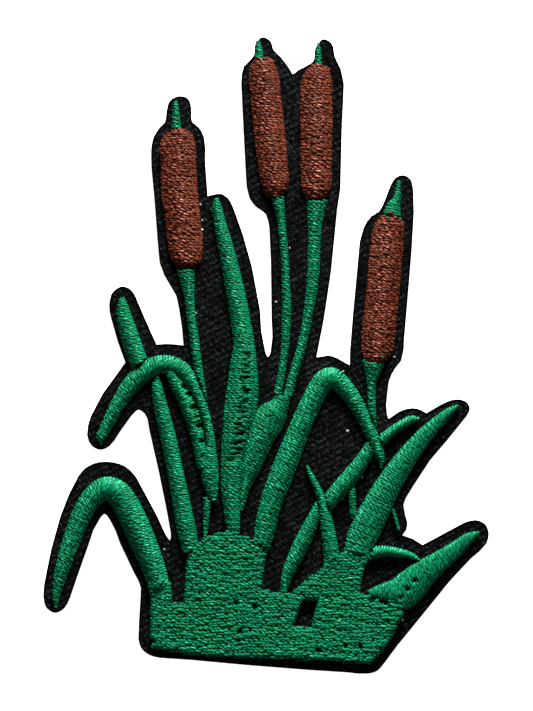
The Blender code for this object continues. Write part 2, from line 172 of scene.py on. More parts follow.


# Spun polyester twill dyed black: dull yarns. The tops of the floats, fluffed here and there, are painted
# grey as sheen, where the light catches them
def wovenTwill(look):
    made, tree, output = newMaterial("black polyester twill")
    place = addNode(tree, "ShaderNodeTexCoord")
    top = addNode(tree, "ShaderNodeAttribute", {"attribute_name": "floatFluffAndPaintedSheen"})
    fibre = addNode(tree, "ShaderNodeTexNoise", {"Scale": 1 / (look["fibreMm"] * mm), "Detail": 4.0},
                    {"Vector": place.outputs["Object"]})
    worn = addNode(tree, "ShaderNodeTexNoise", {"Scale": 1 / (look["wornPatchMm"] * mm), "Detail": 2.0},
                   {"Vector": place.outputs["Object"]})
    # the colour runs from deep to lit with the painted sheen on the float tops, stronger in random worn
    # patches
    mixer = addNode(tree, "ShaderNodeMix", {"data_type": "RGBA"})
    mixer.inputs[6].default_value = linear(look["deep"])
    mixer.inputs[7].default_value = linear(look["lit"])
    both = addNode(tree, "ShaderNodeMath", {"operation": "MULTIPLY"})
    tree.links.new(top.outputs["Fac"], both.inputs[0])
    tree.links.new(worn.outputs["Fac"], both.inputs[1])
    tree.links.new(both.outputs[0], mixer.inputs[0])
    bump = addNode(tree, "ShaderNodeBump", {"Strength": look["bump"], "Distance": look["fibreMm"] * mm},
                   {"Height": fibre.outputs["Fac"]})
    rough = addNode(tree, "ShaderNodeMapRange",
                    {"To Min": look["roughness"][0], "To Max": look["roughness"][1]},
                    {"Value": fibre.outputs["Fac"]})
    surface = addNode(tree, "ShaderNodeBsdfPrincipled",
                      {"IOR": 1.5, "Specular IOR Level": look["specular"]},
                      {"Base Color": mixer.outputs[2], "Roughness": rough.outputs["Result"],
                       "Normal": bump.outputs["Normal"]})
    tree.links.new(surface.outputs[0], output.inputs["Surface"])
    return made


# The loose fibre ends swallow most of the gloss, so the level of reflection is set low. They are
# thinner than 0.02 mm and would not show, so they are drawn as tufts
blackTwill = wovenTwill({"deep": "#010101", "lit": "#3e4545", "specular": 0.02, "roughness": (0.75, 0.95),
                         "fibreMm": 0.15, "bump": 0.5, "wornPatchMm": 6.0})


# Polyamide hot-melt film: milky and waxy, with the faint ripple that it sets with
def hotMeltFilm(look):
    made, tree, output = newMaterial("milky polyamide film")
    place = addNode(tree, "ShaderNodeTexCoord")
    ripple = addNode(tree, "ShaderNodeTexNoise", {"Scale": 1 / (look["rippleMm"] * mm), "Detail": 3.0},
                     {"Vector": place.outputs["Object"]})
    mixer = addNode(tree, "ShaderNodeMix", {"data_type": "RGBA"}, {"Factor": ripple.outputs["Fac"]})
    mixer.inputs[6].default_value = linear(look["milky"])
    mixer.inputs[7].default_value = linear(look["clear"])
    bump = addNode(tree, "ShaderNodeBump", {"Strength": look["bump"], "Distance": look["rippleTallMm"] * mm},
                   {"Height": ripple.outputs["Fac"]})
    rough = addNode(tree, "ShaderNodeMapRange",
                    {"To Min": look["roughness"][0], "To Max": look["roughness"][1]},
                    {"Value": ripple.outputs["Fac"]})
    surface = addNode(tree, "ShaderNodeBsdfPrincipled", {"IOR": 1.53},
                      {"Base Color": mixer.outputs[2], "Roughness": rough.outputs["Result"],
                       "Normal": bump.outputs["Normal"]})
    tree.links.new(surface.outputs[0], output.inputs["Surface"])
    return made


milkyFilm = hotMeltFilm({"milky": "#b9b8b2", "clear": "#8f8f8b", "roughness": (0.28, 0.45),
                         "rippleMm": 2.5, "rippleTallMm": 0.05, "bump": 0.3})
print("materials made")


# A solid's surface, with the points that its faces share joined up
def joinedUp(node):
    bm = bmesh.new()
    bm.from_mesh(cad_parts[node].data)
    bmesh.ops.remove_doubles(bm, verts=bm.verts, dist=weld)
    bm.normal_update()
    return bm


# A solid's footprint: the edges round its underside, as pairs of points
def footprint(node):
    bm = joinedUp(node)
    edges = []
    facesDown = -0.9
    for edge in bm.edges:
        under = [face.normal.z < facesDown for face in edge.link_faces]
        if under.count(True) == 1:
            edges.append([vert.co.xy[:] for vert in edge.verts])
    bm.free()
    return np.array(edges)


# For each point: whether it lies inside the footprint, and how far it is from the edge. The points
# are taken a block at a time, which keeps the memory small
def insideAndDepth(points, edges, block=4000):
    inside = np.zeros(len(points), bool)
    depth = np.zeros(len(points))
    a, b = edges[:, 0], edges[:, 1]
    run = b - a
    for start in range(0, len(points), block):
        p = points[start:start + block, None, :]
        rises = (a[:, 1] > p[..., 1]) != (b[:, 1] > p[..., 1])
        with np.errstate(divide="ignore", invalid="ignore"):
            crossing = a[:, 0] + (p[..., 1] - a[:, 1]) * run[:, 0] / run[:, 1]
        inside[start:start + block] = (rises & (p[..., 0] < crossing)).sum(1) % 2 == 1
        t = np.clip(((p - a) * run).sum(-1) / (run * run).sum(-1), 0, 1)
        gap = p - (a + t[..., None] * run)
        depth[start:start + block] = np.sqrt((gap * gap).sum(-1).min(1))
    return inside, depth


# Edges in order, as one closed loop
def chained(edges):
    def key(point):
        return tuple(round(c / weld) for c in point)

    where = {}
    for a, b in edges:
        where.setdefault(key(a), []).append((key(b), b))
        where.setdefault(key(b), []).append((key(a), a))
    first = key(edges[0][0])
    loop, before, at = [edges[0][0]], None, first
    while True:
        onward = [(k, p) for k, p in where[at] if k != before]
        before, (at, point) = at, onward[0]
        if at == first:
            return np.array(loop)
        loop.append(point)


# How far along a path each of its points is
def lengthsAlong(path):
    return np.concatenate([[0], np.cumsum(np.linalg.norm(np.diff(path, axis=0), axis=1))])


def pointsAt(at, reach, path):
    return np.stack([np.interp(at, reach, column) for column in path.T], -1)


# Threads are swept tubes, gathered in a bundle until a piece is made of them
thread = {
    "radiusMm": 0.18, "wide": 1.42, "tall": 0.6,   # pulled flat, so that neighbours close up
    "plyDepth": 0.42,    # how far the plies stand out, as a share of the radius
    "glintShare": 2.6,   # a higher power leaves a shorter glint on each ply
    "glintSpread": 0.6,  # how unlike its neighbours each glint is
    "glintSpan": (0.05, 2),
    "turnSpread": 0.9,   # how unevenly the plies turn, in radians
    "toneSpan": (0.7, 1.2),  # dullest and brightest stitch
    "dipSpan": (0.6, 1.3),   # shallowest and deepest needle hole, against the usual depth
    "endShare": 0.7,     # radius at a stitch's two ends
    "stepMm": 0.16, "leastRings": 5,
    "sides": 7,          # a thread lies on others, so its ring is rounded above and flat below
    "ringDegrees": (-25, 205),
}
ringAngles = np.radians(np.linspace(*thread["ringDegrees"], thread["sides"]))
tubeFaces = {}


def facesOfTube(rings):
    if rings not in tubeFaces:
        sides = thread["sides"]
        i, j = np.meshgrid(np.arange(rings - 1), np.arange(sides), indexing="ij")
        n = (j + 1) % sides
        walls = np.stack([i * sides + j, (i + 1) * sides + j, (i + 1) * sides + n, i * sides + n], -1)
        last = (rings - 1) * sides
        ends = [[0, k, k + 1] for k in range(1, sides - 1)]
        ends += [[last, last + k + 1, last + k] for k in range(1, sides - 1)]
        tubeFaces[rings] = walls.reshape(-1, 4).tolist() + ends
    return tubeFaces[rings]


def newBundle():
    return {"points": [], "faces": [], "toneAndPaintedLight": [], "count": 0}


def layThread(bundle, path, side, toneAndPaintedLight, turnMm, pinch):
    along = np.gradient(path, axis=0)
    along /= np.linalg.norm(along, axis=1)[:, None]
    over = np.cross(side, along)
    over /= np.linalg.norm(over, axis=1)[:, None]
    reach = lengthsAlong(path)
    marks = np.arange(0, reach[-1] + turnMm * mm, turnMm * mm / 2)
    slack = np.interp(reach, marks, rng.normal(0, thread["turnSpread"], len(marks)))
    turn = rng.uniform(0, 2 * math.pi) - 2 * math.pi * reach / (turnMm * mm) + slack
    ply = np.cos(2 * (ringAngles - turn[:, None]))  # 1 on top of a ply, -1 in the groove between the two
    radius = thread["radiusMm"] * mm * (1 + thread["plyDepth"] * ply) * (pinch * np.ones(len(path)))[:, None]
    radius[[0, -1]] *= thread["endShare"]
    across = (np.cos(ringAngles) * thread["wide"] * radius)[..., None] * side
    rise = (np.sin(ringAngles) * thread["tall"] * radius)[..., None] * over[:, None, :]
    points = (path[:, None, :] + across + rise).reshape(-1, 3)
    bundle["points"].append(points)
    start = bundle["count"]
    bundle["faces"] += [[k + start for k in face] for face in facesOfTube(len(path))]
    # A glint is painted where a ply crosses the top of the thread, and no two are alike; the thread's sides
    # and the grooves between the plies are painted darker, as shade
    crest = ((0.5 + 0.5 * ply) * np.clip(np.sin(ringAngles), 0, 1)) ** thread["glintShare"]
    glints = np.clip(rng.normal(1, thread["glintSpread"], len(marks)), *thread["glintSpan"])
    uneven = np.interp(reach, marks, glints)
    bundle["toneAndPaintedLight"].append((crest * (toneAndPaintedLight * uneven)[:, None]).reshape(-1))
    bundle["count"] += len(points)


# Where a stitch is pulled thin: in short gaps between rows, and deep down along a leaf's open seam
pull = {
    "gapMm": (0.18, 0.4), "gapPinch": 0.6,
    "seamMm": (0.5, 1.2), "seamPinch": 0.75, "seamDropMm": 0.45,
    "seamShare": (0.2, 1),  # how much of that each row shows
    "seamScatterMm": 0.25,
    "thinnest": 0.4,        # against the thread's own radius
    "darkMm": 0.3,          # a dip this deep is painted fully dark, as shade, with no glints left
}


def needleDips(spec):
    return [spec["dipMm"] * mm * rng.uniform(*thread["dipSpan"]) for _ in range(2)]


# One stitch: the thread between two needle holes, cut from the row's path and pulled down at its ends
def layStitch(bundle, row, reach, start, end, side, dips, spec):
    count = max(thread["leastRings"], math.ceil((end - start) / (thread["stepMm"] * mm)) + 1)
    at = np.linspace(start, end, count)
    path = pointsAt(at, reach, row)
    t = (at - start) / max(end - start, 1e-9)
    room = spec["dipRunMm"] * mm
    # shade: the stitch is painted darker where it dips, along a seam and in openings, as the shade down
    # there
    shade = np.ones(count)
    pinch = np.ones(count)
    gaps = rng.poisson(spec["gapsPerMm"] * (end - start) / mm)
    for place, size in zip(rng.uniform(start, end, gaps), rng.uniform(*pull["gapMm"], gaps) * mm):
        near = np.clip(1 - np.abs(at - place) / size, 0, 1)
        pinch -= pull["gapPinch"] * near * (2 - near)
    if spec["seamAt"] is not None:
        place = spec["seamAt"] + rng.normal(0, pull["seamScatterMm"] * mm)
        share = rng.uniform(*pull["seamShare"])
        size = rng.uniform(*pull["seamMm"]) * mm
        near = share * np.clip(1 - np.abs(at - place) / size, 0, 1)
        pinch -= pull["seamPinch"] * near * (2 - near)
        path[:, 2] -= pull["seamDropMm"] * mm * near
        # painted shade down in the seam
        shade *= 1 - near
    for dip, away in ((dips[0], at - start), (dips[1], end - at)):
        near = np.clip(1 - away / room, 0, 1)
        near *= near * (3 - 2 * near)
        path[:, 2] -= dip * near
        # painted shade down in a needle hole's dip
        shade *= 1 - near * min(dip / (pull["darkMm"] * mm), 1)
    sway = rng.normal(0, spec["swayMm"] * mm, 3)
    path += side * (sway[0] * (1 - t) + sway[1] * t + sway[2] * 4 * t * (1 - t))[:, None]
    path[:, 2] += rng.normal(0, spec["liftMm"] * mm)
    for (x, y), size, depth in spec["holes"]:
        near = np.clip(1 - np.hypot(path[:, 0] - x, path[:, 1] - y) / size, 0, 1)
        path[:, 2] -= depth * near * (2 - near)
        # painted shade down in an opening
        shade *= 1 - near
    pinch = np.clip(pinch, pull["thinnest"], 1)
    layThread(bundle, path, side, shade * rng.uniform(*thread["toneSpan"]), spec["plyTurnMm"], pinch)


# Places where the thread has pulled apart: x and y on the grid, width there and depth in millimetres
def openings(*places):
    return [(onPatch([x, y]), wide * unit / 2, depth * mm) for x, y, wide, depth in places]


# The padding that a piece's threads lie over: its own solid, drawn in on all sides
def padding(node, spec):
    bm = joinedUp(node)
    low = min(vert.co.z for vert in bm.verts)
    hair = 0.05 * mm
    points = []
    for vert in bm.verts:
        point = vert.co - vert.normal * spec["padInsetMm"] * mm
        point.z = twillTop - hair if vert.co.z < low + hair else point.z - spec["padDropMm"] * mm
        points.append(point[:])
    faces = [[vert.index for vert in face.verts] for face in bm.faces]
    bm.free()
    return np.array(points), faces


def makePiece(name, bundle, threadMaterial, under=None, underMaterial=None):
    points = np.concatenate(bundle["points"])
    faces = bundle["faces"]
    toneAndPaintedLight = np.concatenate(bundle["toneAndPaintedLight"])
    threads = len(faces)
    if under:
        faces += [[k + len(points) for k in face] for face in under[1]]
        points = np.concatenate([points, under[0]])
        toneAndPaintedLight = np.concatenate([toneAndPaintedLight, np.zeros(len(under[0]))])
    mesh = bpy.data.meshes.new(name)
    mesh.from_pydata(points.tolist(), [], faces)
    mesh.attributes.new("threadToneAndPaintedLight", "FLOAT", "POINT").data.foreach_set("value", toneAndPaintedLight.astype(np.float32))
    mesh.materials.append(threadMaterial)
    if under:
        mesh.materials.append(underMaterial)
        slots = np.zeros(len(faces), np.int32)
        slots[threads:] = 1
        mesh.polygons.foreach_set("material_index", slots)
    mesh.shade_smooth()
    return newObject(name, mesh)


# A column's middle line, a smooth curve through its stations: x, y and half its width, in metres
def middleLine(stations, step=0.05 * mm):
    marks = np.array(stations, float)
    marks[:, :2] = onPatch(marks)
    marks[:, 2] *= unit / 2
    runs = np.linalg.norm(np.diff(marks[:, :2], axis=0), axis=1)
    chords = np.diff(marks, axis=0) / runs[:, None]
    inner = (chords[:-1] * runs[1:, None] + chords[1:] * runs[:-1, None]) / (runs[:-1] + runs[1:])[:, None]
    slopes = np.concatenate([chords[:1], inner, chords[-1:]])
    cuts = 40  # from one station to the next
    t = np.linspace(0, 1, cuts + 1)[:-1, None]
    curve = []
    for i, run in enumerate(runs):
        curve.append((1 + 2 * t) * (1 - t) ** 2 * marks[i] + t * (1 - t) ** 2 * run * slopes[i]
                     + t * t * (3 - 2 * t) * marks[i + 1] + t * t * (t - 1) * run * slopes[i + 1])
    curve = np.concatenate(curve + [marks[-1:]])
    reach = lengthsAlong(curve[:, :2])
    even = np.arange(0, reach[-1], step)
    return even, pointsAt(even, reach, curve)


satin = {
    "rowMm": 0.395,        # from one row of thread to the next
    "firstRow": 0.3,       # where the first row lies, in rows from the column's end
    "stitchMm": 9.0,       # long enough that only the heads have needle holes inside
    "stitchSpan": (0.8, 1.2), "leastStitch": 0.25,  # as shares of that length
    "plyTurnMm": 1.9,      # one full twist of the thread's two plies
    "rowJitter": 0.06,     # how unevenly the rows lie, as a share of their spacing
    "turnJitter": 0.8,     # degrees
    "lie": None,           # pairs of (share of the length, degrees from level), or None for square to it
    "bendRow": 0.55,       # how much longer a bend's outer edge is, in rows, for each short row added
    "bendStart": (-0.1, 0.25),  # where across the column the short rows begin
    "edgeJitterMm": 0.06,
    "dipMm": 0.1,          # how far a needle hole pulls the thread down
    "dipRunMm": 0.34,
    "hiddenDipMm": 0.2,    # the same where the column goes under its neighbour
    "swayMm": 0.02,
    "liftMm": 0.012,
    "crownMm": (0.35, 0.19, 1.2),  # least crown, its growth with the width and the most
    "edgeMm": 0.25,        # height of the crown at its edges
    "crest": 2.0,          # 1 for a half round crown, more for a sharper one
    "crownPoints": 40,
    "tuckMm": 0.27,        # how far a covered column runs on, under its neighbour's edge
    "padInsetMm": 0.2,
    "padDropMm": 0.25,
    "holes": [],
    "gapsPerMm": 0.12,     # places where a thread is pulled thin and the rows part
    "seam": None,          # a line, on the grid, along which the rows have pulled apart
    "sampleMm": 0.05, "openMm": 0.1,  # looking for a row's ends: step, and how near counts as the edge
    "leastRow": 1.2,       # against the thread's radius
}


def runsOf(flags):
    padded = np.concatenate([[False], flags, [False]])
    change = np.flatnonzero(padded[1:] != padded[:-1])
    return list(zip(change[::2], change[1::2] - 1))


def stitchColumn(piece):
    spec = {**satin, **piece}
    edges = footprint(spec["node"])
    reach, line = middleLine(spec["line"])
    rowStep = spec["rowMm"] * mm
    bundle = newBundle()
    smooth = 0.5 * mm
    tangent = pointsAt(reach + smooth, reach, line[:, :2]) - pointsAt(reach - smooth, reach, line[:, :2])
    headings = np.unwrap(np.arctan2(tangent[:, 1], tangent[:, 0]))
    bend = np.gradient(headings, reach) * line[:, 2]
    # Round a bend the machine adds short rows on the outer side, so that no cloth shows there
    begin = spec["firstRow"]
    rows = [(k + begin, 0) for k in range(int(reach[-1] / rowStep) + 1)]
    if not spec["lie"]:
        for k in range(len(rows)):
            spread = np.interp((k + (begin + 0.5)) * rowStep, reach, bend)
            extra = int(abs(spread) / spec["bendRow"])
            rows += [(k + begin + (j + 1) / (extra + 1), -math.copysign(1, spread)) for j in range(extra)]
    for place, outer in sorted(rows):
        s = (place + rng.normal(0, spec["rowJitter"])) * rowStep
        x, y, half = pointsAt(s, reach, line)
        level = np.interp(s, reach, headings) + math.pi / 2
        square = (level + math.pi / 2) % math.pi - math.pi / 2
        if spec["lie"]:
            places, angles = zip(*spec["lie"])
            square = math.radians(np.interp(s / reach[-1], places, angles))
        turned = square + math.radians(rng.normal(0, spec["turnJitter"]))
        direction = np.array([math.cos(turned), math.sin(turned)])
        skew = abs(math.cos(turned - level))
        full = half / max(skew, 0.5)  # a slanted row is longer, but never more than twice
        middle = np.array([x, y])
        q = np.linspace(-full, full, max(8, int(2 * full / (spec["sampleMm"] * mm))))
        if outer:
            away = outer * math.copysign(1, math.cos(turned - level))
            q = q[q * away > rng.uniform(*spec["bendStart"]) * full]
        inside, depth = insideAndDepth(middle + q[:, None] * direction, edges)
        for first, last in runsOf(inside | (depth < spec["tuckMm"] * mm)):
            a, b = q[first], q[last]
            if b - a < spec["leastRow"] * (thread["radiusMm"] * mm):
                continue
            near = spec["openMm"] * mm
            openEnds = (a < -full + near, b > full - near)
            a += rng.normal(0, spec["edgeJitterMm"] * mm) if openEnds[0] else 0
            b += rng.normal(0, spec["edgeJitterMm"] * mm) if openEnds[1] else 0
            layRow(bundle, spec, middle, direction, half, full, a, b, openEnds)
    pad = padding(spec["node"], spec)
    made = makePiece(spec["node"] + "_satin", bundle, spec["top"], pad, spec["under"])
    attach(made, "root")
    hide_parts(spec["node"])


# A row's path arches over the column from edge to edge, and is then split into stitches
def layRow(bundle, spec, middle, direction, half, full, a, b, openEnds):
    radius = thread["radiusMm"] * mm
    least, growth, most = spec["crownMm"]
    rise = min(most * mm, least * mm + growth * 2 * half) + stitchFoot - twillTop - radius
    wide = full - 0.5 * radius  # the thread turns down just inside the edge
    ends = [math.asin(np.clip(end / wide, -1, 1)) for end in (a, b)]
    arc = np.linspace(*ends, spec["crownPoints"])
    row = np.zeros((len(arc), 3))
    row[:, :2] = middle + (wide * np.sin(arc))[:, None] * direction
    edge = spec["edgeMm"] * mm
    row[:, 2] = twillTop + edge + (rise - edge) * np.cos(arc) ** spec["crest"]
    reach = lengthsAlong(row)
    side = np.array([direction[1], -direction[0], 0.0])
    stitch = spec["stitchMm"] * mm
    holes = [0.0, reach[-1]]
    at = rng.uniform(spec["leastStitch"], 1.0) * stitch
    while at < reach[-1] - spec["leastStitch"] * stitch:
        holes.append(at)
        at += stitch * rng.uniform(*spec["stitchSpan"])
    seamAt = None
    if spec["seam"]:
        xs, ys = onPatch(spec["seam"]).T
        if ys.min() < middle[1] < ys.max():
            seamAt = np.interp(np.interp(middle[1], ys[::-1], xs[::-1]), row[:, 0], reach)
    holes.sort()
    stitches = len(holes) - 1
    hidden = spec["hiddenDipMm"] * mm
    for k in range(stitches):
        dips = needleDips(spec)
        if k == 0:
            dips[0] = 0.0 if openEnds[0] else hidden
        if k == stitches - 1:
            dips[1] = 0.0 if openEnds[1] else hidden
        layStitch(bundle, row, reach, holes[k], holes[k + 1], side, dips, {**spec, "seamAt": seamAt})


# Each column's line has its stations from one end to the other: x, y and its width there, on the grid
# under: the underlay, painted near black as shade
brown = {"top": brownThread, "under": brownUnderlayPaintedShade, "slot": "brown_thread"}
green = {"top": greenThread, "under": greenUnderlayPaintedShade, "slot": "green_thread"}
levelRows = [(0, 0), (1, 0)]

# The heads have level rows of short stitches, which lie a little less evenly than long ones
headStitch = {"lie": levelRows, "stitchMm": 2.6, "swayMm": 0.03, "liftMm": 0.018}
heads = [
    {"node": "head_1",
     "line": [(179, 131, 15), (178.5, 135, 28), (177.7, 142, 34.5), (178.5, 165, 36), (179.8, 195, 37.5),
              (182.8, 220, 36.5), (185.2, 242, 36), (186.3, 256, 33), (187, 263.5, 25),
              (187.7, 268.5, 13)]},
    {"node": "head_2",
     "line": [(263, 60, 13), (263, 64, 23), (263.4, 72, 29), (265.8, 97, 31.3), (269.8, 137, 31.7),
              (273, 167, 30.5), (275, 184.5, 28), (275, 192, 22.5), (274, 197.5, 11)]},
    {"node": "head_3",
     "line": [(317.5, 66, 12), (317.5, 70, 22), (317, 77, 29), (316.3, 97, 32.7), (316.3, 140, 32.7),
              (316, 168, 32), (316, 190.5, 28), (315.5, 197.5, 20), (314.5, 202, 9)]},
    {"node": "head_4",
     "line": [(391, 216, 14), (390, 220.5, 25), (388.7, 228, 31), (387, 243, 33.5), (383.8, 280, 34),
              (380.7, 312, 34.2), (378, 340, 34.3), (377, 352, 31.5), (376, 359, 24.5),
              (375.5, 363.5, 15)]},
]
for piece in heads:
    stitchColumn({**brown, **headStitch, **piece})
print("heads stitched")

tips = [
    {"node": "tip_1", "line": [(175.8, 102.5, 4), (176, 109, 6.8), (176.3, 118, 8.6), (176.2, 132, 11)]},
    {"node": "tip_2", "line": [(257.8, 41.5, 4), (258.5, 47, 7), (259.5, 61, 9)]},
    {"node": "tip_3", "line": [(318.5, 43.5, 3.3), (318.5, 51, 5.4), (318.6, 67, 7.6)]},
    {"node": "tip_4",
     "line": [(398.6, 182, 3.5), (398.2, 189, 6), (396.8, 199, 8.7), (393.5, 207, 15),
              (391.5, 217, 19.5)]},
]
stalks = [
    {"node": "stalk_1",
     "line": [(185.5, 266, 19), (187, 279, 16), (189.3, 298, 11), (191.5, 320, 9.6), (194, 337, 10),
              (197, 360, 10), (200, 378, 9), (203.5, 394, 7), (206, 408, 4)]},
    {"node": "stalk_2",
     "line": [(277.5, 196, 14), (280.5, 217, 9.6), (284, 250, 8.6), (286, 286, 9), (286.2, 322, 10),
              (284.5, 350, 8.6), (281.5, 374, 8.2), (278, 394, 9)]},
    {"node": "stalk_3",
     "line": [(317, 200, 22), (315, 222, 16), (312.6, 280, 13), (308.6, 312, 11), (302.8, 342, 10),
              (297.8, 361, 10), (292.8, 377, 9.6), (288, 396, 10)]},
    {"node": "stalk_foot",
     "line": [(283, 396, 17), (280, 405, 19), (274.5, 412.5, 28), (268, 421, 33),
              (262, 433, 30), (256.3, 449, 26), (250.8, 467, 21), (246, 482, 14),
              (243, 499, 8), (241.6, 510, 4)]},
    {"node": "stalk_4",
     "line": [(373.8, 361, 24.5), (372.7, 371, 18), (371.5, 381, 11.5), (371.5, 396, 9),
              (372.3, 411, 8), (374, 423, 5.5), (375.5, 431, 3)]},
]
for piece in tips + stalks:
    stitchColumn({**green, **piece})
print("tips and stalks stitched")

leaves = [
    {"node": "leaf_left_tip",
     "line": [(122.4, 297.5, 4.5), (122.6, 305, 11), (124, 316, 15.5), (128.5, 332, 18.5),
              (135, 352, 19.5), (142, 369, 19)]},
    {"node": "leaf_left_arch", "edgeJitterMm": 0.12,
     "line": [(101, 443.5, 4), (101, 438, 10), (105.2, 429, 12.2), (111.2, 417.5, 14),
              (120.7, 400.3, 16.3), (132, 384, 19), (143.7, 372.8, 20.2), (155, 366.2, 20),
              (167, 364.3, 19), (179, 368, 18.5), (188.3, 377.1, 16), (195.2, 389.2, 12.2),
              (200.7, 401.2, 10.7), (204.7, 413.2, 10.1), (208.7, 429.1, 9.7), (210.7, 446, 11.2),
              (210, 461, 16.3), (210, 475, 18.5), (211.5, 488, 14.5), (213.5, 500, 8)]},
    {"node": "leaf_left_strand",
     "line": [(170.6, 371, 12.3), (177.3, 384.8, 15.6), (185.1, 399.8, 16.4), (191.3, 413.9, 16.6),
              (196, 429.9, 15.4), (199.4, 447, 13.6), (202, 464, 12), (205, 475, 11), (208, 485, 9)],
     "holes": openings((180, 376, 6, 0.8), (184.5, 386.5, 8, 0.9), (188, 394, 6, 0.8),
                       (193.5, 407.5, 9, 0.9), (196.5, 417, 6, 0.8), (199.5, 426, 9, 0.9),
                       (202.5, 441, 8, 0.9), (204.5, 456, 8, 0.9)),
     "tuckMm": 1.0, "edgeJitterMm": 0.2},
    {"node": "leaf_left_blade",
     "line": [(157.5, 377.5, 4.5), (157, 384, 10), (158, 394, 12.8), (161.5, 410, 15),
              (166.5, 430, 16), (171.5, 453, 16.7), (176.5, 478, 17.5), (181.5, 504, 18.7),
              (185.5, 525, 20), (190.5, 550, 18)]},
    {"node": "leaf_far_left",
     "line": [(56, 606.5, 4), (56, 598, 7.5), (58.5, 584, 11.8), (64.5, 562, 16.5),
              (71.5, 541, 18.6), (80.5, 518, 20.5), (89.5, 501.5, 21.8), (98.5, 492, 23.4),
              (107.5, 488.5, 24.6), (116.5, 492, 26), (123.5, 500.5, 27), (131, 514.5, 27.6),
              (139, 532, 27.3), (147, 551, 26), (154, 569, 24), (158.5, 583, 22), (161, 592, 20)],
     "tuckMm": 0.7},
    {"node": "leaf_thin_left",
     "line": [(207, 498, 8.5), (206.8, 508, 8), (206, 522, 6.5), (205, 539, 4)]},
    {"node": "leaf_tall", "lie": levelRows,
     "seam": [(246, 352), (245.5, 380), (242, 410), (237.5, 440), (234, 464)],
     "line": [(216.8, 199.5, 5), (217, 206, 9.5), (219.5, 221, 12.5), (224, 240, 15.2),
              (230, 266, 17.8), (235.7, 294, 19.7), (241, 324, 21), (244, 345, 22.3),
              (243.7, 362, 26.7), (242.7, 388, 32.2), (240.7, 408, 33.7), (237, 430, 29),
              (232.7, 456, 23.7), (230.8, 482, 20.8), (231.6, 505, 18.5), (233.5, 533, 13.5)]},
    {"node": "leaf_centre_arch",
     "line": [(261, 550, 18), (264.5, 531, 21.5), (270, 507, 22.5), (278.8, 482, 24.5),
              (286.5, 462, 24.3), (294.5, 441.5, 23), (303.5, 420, 22.3), (312, 401, 21.8),
              (319, 387.5, 22), (325, 380, 22), (331, 378, 22), (338, 381.5, 20.3),
              (345.5, 389, 18.5), (353, 398.8, 17), (360.7, 412.5, 15.2), (368, 427.8, 13.5),
              (374.7, 441.5, 12.8), (379.3, 454, 10.8), (381.3, 461.5, 7), (381.3, 467.5, 3)]},
    {"node": "leaf_curved_tip",
     "line": [(418.3, 418.8, 3.5), (413, 419, 8), (404, 423.3, 9.8), (395, 429, 10.3),
              (386, 436.3, 11.8), (374, 446, 14)]},
    {"node": "leaf_curved_middle",
     "line": [(372.5, 443, 12), (364, 457.8, 14.8), (355, 470.8, 17), (344.6, 483.3, 18),
              (334, 495.5, 17.5), (324, 509, 15)]},
    {"node": "leaf_curved_base",
     "line": [(319, 503, 8), (314, 516, 12), (308, 530, 15.7), (302, 543, 17),
              (295.8, 556, 16), (289.7, 569, 14), (285.7, 581, 11), (283.5, 594, 7)]},
    {"node": "leaf_short",
     "line": [(307, 466.5, 3.5), (310.5, 475, 5.8), (316, 486, 7.8), (321.5, 500, 9.7),
              (325.2, 514, 12), (327.5, 528, 14.5), (330.3, 546, 15.8), (333, 568, 18)]},
    {"node": "leaf_long_right",
     "crest": 1.3, "crownMm": (0.35, 0.15, 0.95), "padDropMm": 0.55,
     "line": [(457.3, 405.8, 3.5), (450, 411.3, 8.5), (439, 421, 13), (427.5, 432.5, 16.6),
              (414.5, 447.5, 19.6), (402.5, 463.5, 22.8), (391.5, 480, 25.3),
              (382, 496.5, 28.3), (374, 512.5, 30.5), (365.3, 529.5, 31.5), (359, 545, 28.5),
              (356, 562, 26)]},
    {"node": "leaf_small_arch",
     "line": [(418.5, 559.5, 3), (412.5, 556.3, 7), (404, 553.7, 9.2), (395, 552, 10.2),
              (385, 551, 11.5), (375, 552.3, 13.3), (362, 556, 14)]},
    {"node": "leaf_low_right", "lie": [(0, -62), (0.5, -56), (1, -52)],
     "crest": 1.2, "crownMm": (0.35, 0.12, 0.85), "padDropMm": 0.75,
     "holes": openings((414.5, 580, 7, 0.6), (406.5, 588.5, 7, 0.6), (400, 597, 6, 0.6)),
     "line": [(478, 532.5, 4), (471, 536.5, 9.8), (460, 545.5, 15.3), (448, 555, 18.8),
              (436, 564, 23), (422.5, 574.5, 28.5), (410.5, 586, 34), (400.5, 594, 33),
              (387, 593.5, 21), (370.5, 593, 6)]},
    {"node": "sliver_inner",
     "line": [(352, 486.5, 6), (352.3, 495, 8), (352.5, 505, 7), (353.5, 516, 7), (356, 525, 5)]},
    {"node": "sliver_outer",
     "line": [(393, 509.5, 3), (394.5, 516, 4.2), (396.5, 523, 4.5), (398.3, 529.5, 3)]},
]
for piece in leaves:
    stitchColumn({**green, **piece})
print("leaves stitched")

